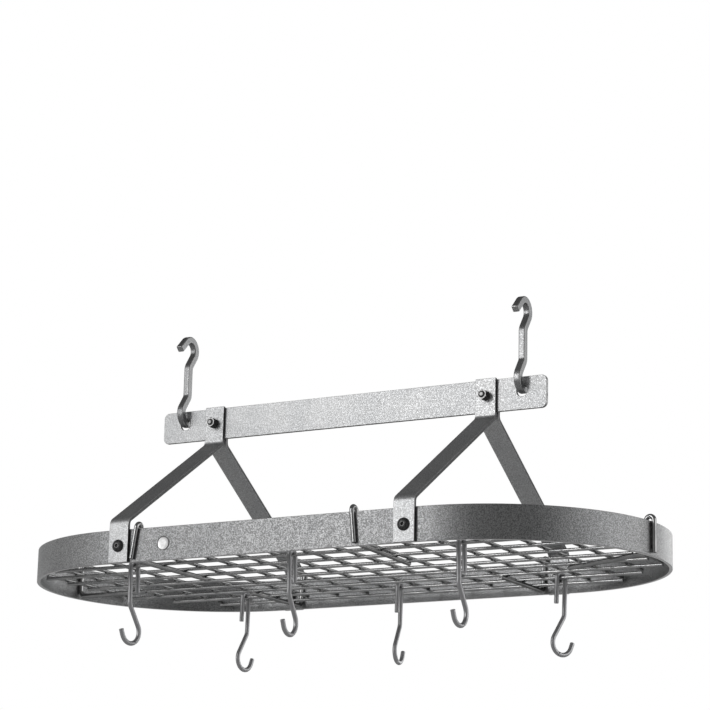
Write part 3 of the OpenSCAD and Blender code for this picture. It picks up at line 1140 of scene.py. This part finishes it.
@dataclass
class CeilingHooks:
    """Two hooks of square bar, each with an open bowl at both ends."""

    x: float = HOOK_X
    bar: float = 9.52
    reach: float = 94.0
    bowl_r: float = 14.5
    jog_r: float = 12.0
    jog_angle: float = 35.0
    jog_len: float = 16.925
    tip_angle: float = 45.0
    tip_len: float = 20.0
    edge: float = 1.6

    def lower_end(self) -> tuple[np.ndarray, np.ndarray]:
        """Middle line of the lower end about its bowl's centre, from the tip to the start of the shank.

        The tip rises slanting from the bowl, the bowl turns under the centre to the far side, and a straight
        run and a bend bring the line back over the centre.

        Returns:
            The places and the headings in the plane across the rack, as (point, 2).
        """
        slant, rise = math.radians(self.jog_angle), math.radians(self.tip_angle)
        out = self.bowl_r * np.array([-math.cos(slant), math.sin(slant)])
        sweep = np.radians(np.linspace(-self.tip_angle, -180.0 - self.jog_angle, 37))
        places = self.bowl_r * np.column_stack([np.cos(sweep), np.sin(sweep)])
        ways = np.column_stack([np.sin(sweep), -np.cos(sweep)])
        tip = places[0] + self.tip_len * np.array([math.cos(rise), math.sin(rise)])
        start = out + self.jog_len * np.array([math.sin(slant), math.cos(slant)])
        middle = start + self.jog_r * np.array([-math.cos(slant), math.sin(slant)])
        bend = np.linspace(-slant, 0.0, 11)
        bend_places = middle + self.jog_r * np.column_stack([np.cos(bend), np.sin(bend)])
        bend_ways = np.column_stack([-np.sin(bend), np.cos(bend)])
        return (
            np.concatenate([[tip], places, bend_places]),
            np.concatenate([[ways[0]], ways, bend_ways]),
        )

    def build(self, x: float) -> Shell:
        """Square bar along the lower end, and back along the same line turned half round for the upper end.

        Args:
            x: Where the hook hangs along the rack.

        Returns:
            The hook's shell.
        """
        places, ways = self.lower_end()
        low = places + [0.0, HANG_HEIGHT - self.reach]
        high = places[::-1] * [-1.0, -1.0] + [0.0, HANG_HEIGHT]
        plan = np.concatenate([low, high])
        way = np.concatenate([ways, ways[::-1]])
        points = np.column_stack([np.full(len(plan), x), plan])
        headings = np.column_stack([np.zeros(len(way)), way])
        return carried(FlatStock(self.bar, self.bar, self.edge), Path(points, headings), ALONG, self.edge)

    def dress(self) -> None:
        """Puts both hooks into the scene."""
        for hand, x in (("left", -self.x), ("right", self.x)):
            node = f"ceiling_hook_{hand}"
            put(f"{node}_bar", "ceiling_hooks", HAMMERED_HOOK, [self.build(x)], (node,))


@dataclass
class Grid:
    """Welded grid of long rods with cross rods over them."""

    pitch: float = PITCH
    rod: float = 4.76
    long_z: float = LONG_ROD_Z
    long_reach: tuple[float, ...] = (8.5, 8.5, 8.5, 7.5, 6.5)
    cross_reach: tuple[int, ...] = (4,) * 7 + (3, 2)
    over: float = 1.2
    soft: float = 0.5
    weld_r: float = 2.25
    weld_h: float = 1.15
    weld_sides: int = 10

    def rods(self, long: bool) -> list[Shell]:
        """The rods of one direction, each carried straight from end to end.

        Args:
            long: Whether they run along the rack.

        Returns:
            The rods' shells.
        """
        stock = RoundStock(self.rod, 20)
        way, across = (ALONG, ACROSS) if long else (ACROSS, ALONG)
        level = UP * (self.long_z if long else self.long_z + self.rod)
        shells = []
        for k, reach in enumerate(self.long_reach if long else self.cross_reach):
            place = (k if long else k + 0.5) * self.pitch
            end = (reach * self.pitch + self.over) * way
            for sign in (-1.0, 1.0) if place else (1.0,):
                middle = level + sign * place * across
                path = Path(np.stack([middle - end, middle + end]), np.stack([way, way]))
                shells.append(carried(stock, path, UP, self.soft))
        return shells

    def welds(self) -> list[Shell]:
        """Small flattened beads in the crossings.

        Returns:
            The beads' shells.
        """
        lift = np.linspace(-1.0, 1.0, 5)[:, None]
        bulge = self.weld_r * np.sqrt(np.clip(1.02 - lift**2, 0.0, 1.0))
        bead = turned(*banded([(bulge, self.weld_h * lift)], self.weld_sides), Ending.POLE)
        level = self.long_z + self.rod / 2.0
        return [
            bead.moved([sx * (i + 0.5) * self.pitch, sy * j * self.pitch, level])
            for i, reach in enumerate(self.cross_reach)
            for j in range(reach + 1)
            for sx in (-1.0, 1.0)
            for sy in ((-1.0, 1.0) if j else (1.0,))
        ]

    def dress(self) -> None:
        """Puts the rods and the weld beads into the scene."""
        put("long_rods", "grid", GRID_ROD, self.rods(True), ("grid_long_rods",))
        put("cross_rods", "grid", GRID_ROD, self.rods(False), ("grid_cross_rods",))
        put("grid_welds", "grid", GRID_ROD, self.welds())


@dataclass
class RimClips:
    """Wire clips over the rim, each with an arm under the grid."""

    wire: float = 6.35
    pitch: float = PITCH
    arm_z: float = 3.845
    top_z: float = 50.705
    end_z: float = 4.0
    leg_out: float = 227.775
    leg_in: float = 216.465
    crown_r: float = 5.655
    bend_r: float = 9.0
    beside_strap: float = 194.625
    strap_x: float = STRAP_X
    end_x: float = 232.7
    end_slant: float = 5.5

    def build(
        self, top_x: float, foot_x: float, way: tuple[float, float], tip: tuple[float, float]
    ) -> Shell:
        """Wire up the rim's outer face, over its top, down its inner face and along the arm.

        Args:
            top_x: Place along the rack of the centre that the loop's legs are measured from, at its top.
            foot_x: The same at its foot.
            way: Direction outwards across the rim, in plan.
            tip: The arm's tip, in plan.

        Returns:
            The clip's shell.
        """
        top, foot, way = np.array([top_x, 0.0]), np.array([foot_x, 0.0]), np.array(way)
        share = (self.end_z - self.arm_z) / (self.top_z - self.arm_z)
        low = foot + (top - foot) * share
        line = [
            [*(low + self.leg_out * way), self.end_z],
            [*(top + self.leg_out * way), self.top_z],
            [*(top + self.leg_in * way), self.top_z],
            [*(foot + self.leg_in * way), self.arm_z],
            [*tip, self.arm_z],
        ]
        side = np.array([-way[1], way[0], 0.0])
        path = bent_path(np.array(line), [self.crown_r, self.crown_r, self.bend_r], 14)
        return carried(RoundStock(self.wire), path, side, 0.5)

    def places(self) -> dict[str, tuple]:
        """Where each clip stands: its top, its foot, its direction outwards and its tip, as build takes them.

        Returns:
            The four by the clip's name.
        """
        p, b, s, e = self.pitch, self.beside_strap, self.strap_x, self.end_x
        slant = math.radians(self.end_slant)
        front, rear = (0.0, -1.0), (0.0, 1.0)
        left, right = (-math.cos(slant), math.sin(slant)), (math.cos(slant), -math.sin(slant))
        return {
            "front_left": (0.19 * p - b, 0.05 * p - b, front, (0.08 * p - b, -0.968 * p)),
            "front_right": (s - 1.52 * p, s - 1.42 * p, front, (s - 1.66 * p, -1.215 * p)),
            "rear_left": (-b, -b, rear, (-b - 0.02 * p, 1.58 * p)),
            "rear_right": (b, b, rear, (b + 0.03 * p, 1.61 * p)),
            "end_left": (-e, -e, left, (-e - 2.03 * p, 0.344 * p)),
            "end_right": (e, e, right, (e + 1.565 * p, 0.982 * p)),
        }

    def dress(self) -> None:
        """Puts the six clips into the scene."""
        for name, place in self.places().items():
            node = f"clip_{name}"
            put(f"{node}_wire", "rack", CLIP_WIRE, [self.build(*place)], (node,))


@dataclass
class PotHooks:
    """Six open hooks of round wire on the grid's outer long rods."""

    wire: float = 6.35
    pitch: float = PITCH
    rod_y: float = 3 * PITCH
    rod_z: float = LONG_ROD_Z
    crown_r: float = 7.0
    crown_z: float = -1.305
    short_leg: float = 34.5
    long_leg: float = 47.0
    knee_r: float = 14.0
    shank_angle: float = 30.0
    shank_len: float = 29.0
    bowl_r: float = 16.0
    tip_flare: float = 20.0
    tip_len: float = 8.0
    lean: float = 1.5

    def line(self) -> np.ndarray:
        """Corner points of the wire about the rod's axis, as (outwards, up), from the short leg to the bowl.

        Returns:
            The points, leaned so that the hook hangs in balance.
        """
        r, top = self.crown_r, self.crown_z
        half_turn = (180.0 + self.shank_angle - self.tip_flare) / 2.0
        knee = self.knee_r * math.tan(math.radians(self.shank_angle / 2.0))
        bowl = self.bowl_r * math.tan(math.radians(half_turn / 2.0))
        ways = np.radians(-90.0 - self.shank_angle + half_turn * np.arange(3))
        runs = np.array([knee + self.shank_len + bowl, 2.0 * bowl, bowl + self.tip_len])
        start = np.array([r, top - self.long_leg - knee])
        rest = start + np.cumsum(runs[:, None] * np.column_stack([np.cos(ways), np.sin(ways)]), axis=0)
        points = np.concatenate([[[-r, top - self.short_leg], [-r, top + r], [r, top + r], start], rest])
        c, s = math.cos(math.radians(self.lean)), math.sin(math.radians(self.lean))
        return points @ np.array([[c, -s], [s, c]])

    def build(self, x: float, side: Side, turn: float) -> Shell:
        """Wire bent through the corner points, turned in plan about the upright through the rod.

        Args:
            x: Where the hook hangs along the rod.
            side: The rack's side.
            turn: Turn in plan, 90 where the hook hangs square to the rod.

        Returns:
            The hook's shell.
        """
        angle = math.radians(turn)
        out = side.value * np.array([math.cos(angle), math.sin(angle), 0.0])
        line = self.line()
        points = np.array([x, side.value * self.rod_y, self.rod_z]) + line[:, :1] * out + line[:, 1:] * UP
        radii = [self.crown_r, self.crown_r, self.knee_r, self.bowl_r, self.bowl_r]
        return carried(RoundStock(self.wire), bent_path(points, radii, 18), np.cross(UP, out), 0.45)

    def dress(self) -> None:
        """Puts the six hooks into the scene."""
        places = {
            "front_left": (-4.879, Side.FRONT, 80.0), "front_middle": (0.121, Side.FRONT, 90.0),
            "front_right": (5.111, Side.FRONT, 87.0), "rear_left": (-5.02, Side.REAR, 84.0),
            "rear_middle": (0.085, Side.REAR, 98.0), "rear_right": (5.111, Side.REAR, 63.5),
        }
        for name, (pitches, side, turn) in places.items():
            node = f"pot_hook_{name}"
            shell = self.build(pitches * self.pitch, side, turn)
            put(f"{node}_wire", node, HOOK_WIRE, [shell], (node,))


# Studio


@dataclass(frozen=True)
class Shade:
    """A darker part of the room: its middle's direction, the cosines where it starts and is full, its depth."""

    way: tuple[float, float, float]
    start: float
    full: float
    depth: float


DARK_SIDE = Shade((0.49, -0.87, 0.0), 0.60, 0.86, 0.82)
CEILING = Shade((0.0, 0.0, 1.0), 0.38, 0.66, 0.85)
LEFT_WALL = Shade((-0.94, 0.34, 0.0), 0.35, 0.80, 0.45)


@dataclass
class Studio:
    """Camera, pale floor, soft lamps and the light all round, in metres."""

    lens: float = 128.42
    eye: tuple[float, float, float] = (1.67982, -2.94264, -0.88036)
    to_right: tuple[float, float, float] = (0.87208, 0.48884, 0.02264)
    to_front: tuple[float, float, float] = (-0.47916, 0.84358, 0.24244)
    lamps_aim: tuple[float, float, float] = (0.0, 0.0, -0.25)
    floor_z: float = -2.0
    floor_half: float = 9.0
    floor_points: int = 19
    floor_wave: float = 0.001
    ambient: float = 0.30

    def camera(self) -> None:
        """Sets the camera at the photograph's viewing angle, from its right, up and forward directions."""
        data = bpy.data.cameras.new("camera")
        data.lens = self.lens
        data.sensor_width = 36.0
        data.clip_end = 60.0
        seen = bpy.data.objects.new("camera", data)
        right = Vector(self.to_right).normalized()
        forward = Vector(self.to_front).normalized()
        upward = right.cross(forward)
        turn = Matrix((right, upward, -forward)).transposed()
        seen.matrix_world = Matrix.Translation(self.eye) @ turn.to_4x4()
        bpy.context.scene.collection.objects.link(seen)
        bpy.context.scene.camera = seen

    def lamp(
        self, name: str, place: tuple[float, float, float], size: tuple[float, float], power: float
    ) -> None:
        """One soft lamp that looks at the rack.

        Args:
            name: The lamp's name.
            place: Where it stands, in metres.
            size: Its width and height, in metres.
            power: Its power, in watts.
        """
        data = bpy.data.lights.new(name, "AREA")
        data.shape = "RECTANGLE"
        data.size, data.size_y = size
        data.energy = power
        lamp = bpy.data.objects.new(name, data)
        lamp.location = place
        lamp.rotation_euler = (Vector(self.lamps_aim) - Vector(place)).to_track_quat("-Z", "Y").to_euler()
        bpy.context.scene.collection.objects.link(lamp)

    def world(self) -> None:
        """Plain light for what is lit, and a white background for the camera, gloss and glass.

        Gloss and glass also show the room's darker parts in that background: its dark side round the place
        where the photograph was taken from, its unlit ceiling and a dim wall at the left. The camera doesn't
        see them.
        """
        world = bpy.data.worlds.new("studio")
        world.use_nodes = True
        bpy.context.scene.world = world
        bench = Bench(world.node_tree)
        way = bench.place()
        dark, ceiling, wall = (
            1.0 - bench.dot(way, shade.way).between(shade.start, shade.full) * shade.depth
            for shade in (DARK_SIDE, CEILING, LEFT_WALL)
        )
        camera, gloss, glass = (
            bench.node("ShaderNodeLightPath", output=f"Is {kind} Ray")
            for kind in ("Camera", "Glossy", "Transmission")
        )
        lit = bench.mix((dark * ceiling * wall).most(camera), grey(0.0), grey(1.0))
        shown = bench.node("ShaderNodeBackground", None, {"Color": lit, "Strength": 1.0})
        plain = bench.node("ShaderNodeBackground", None, {"Color": grey(self.ambient), "Strength": 1.0})
        seen = camera.most(gloss).most(glass)
        both = bench.node("ShaderNodeMixShader", None, {0: seen, 1: plain, 2: shown})
        bench.node_output("ShaderNodeOutputWorld", both)

    def floor(self) -> None:
        """Plain pale floor far under the rack, as one sheet whose height is wave sin(x) sin(y)."""
        steps = np.linspace(-self.floor_half, self.floor_half, self.floor_points)
        x, y = np.meshgrid(steps, steps)
        z = self.floor_z + self.floor_wave * np.sin(x) * np.sin(y)
        points = np.stack([x, y, z], axis=-1).reshape(-1, 3)
        index = np.arange(x.size).reshape(x.shape)
        corners = [index[:-1, :-1], index[:-1, 1:], index[1:, 1:], index[1:, :-1]]
        quads = np.stack(corners, axis=-1).reshape(-1, 4)
        mesh = bpy.data.meshes.new("floor")
        mesh.from_pydata(points.tolist(), [], quads.tolist())
        material = bpy.data.materials.new("floor_paint")
        material.use_nodes = True
        bench = Bench(material.node_tree)
        tone = bench.noise(bench.place(), 1.5, 3.0, 0.5)
        bench.surface(Base_Color=bench.mix(tone, grey(0.80), grey(0.84)), Roughness=0.7)
        mesh.materials.append(material)
        sheet = bpy.data.objects.new("floor", mesh)
        bpy.context.scene.collection.objects.link(sheet)

    def build(self) -> None:
        """Sets the camera, the lamps, the world and the floor."""
        self.camera()
        self.lamp("key_lamp", (-1.2, -3.0, 0.7), (0.6, 2.0), 16.0)
        self.lamp("side_lamp", (3.4, 1.2, 0.5), (2.2, 1.6), 8.0)
        self.lamp("rear_lamp", (0.7, 3.8, 0.6), (1.2, 1.6), 8.0)
        self.world()
        self.floor()
        bpy.context.scene.view_settings.view_transform = "Standard"


def main() -> None:
    """Builds the studio and every piece of the rack."""
    logging.basicConfig(level=logging.INFO, format="%(name)s: %(message)s")
    Studio().build()
    for assembly in (Rim, TopBar, Straps, Fasteners, Badge, CeilingHooks, Grid, RimClips, PotHooks):
        assembly().dress()


if __name__ == "__main__":
    main()
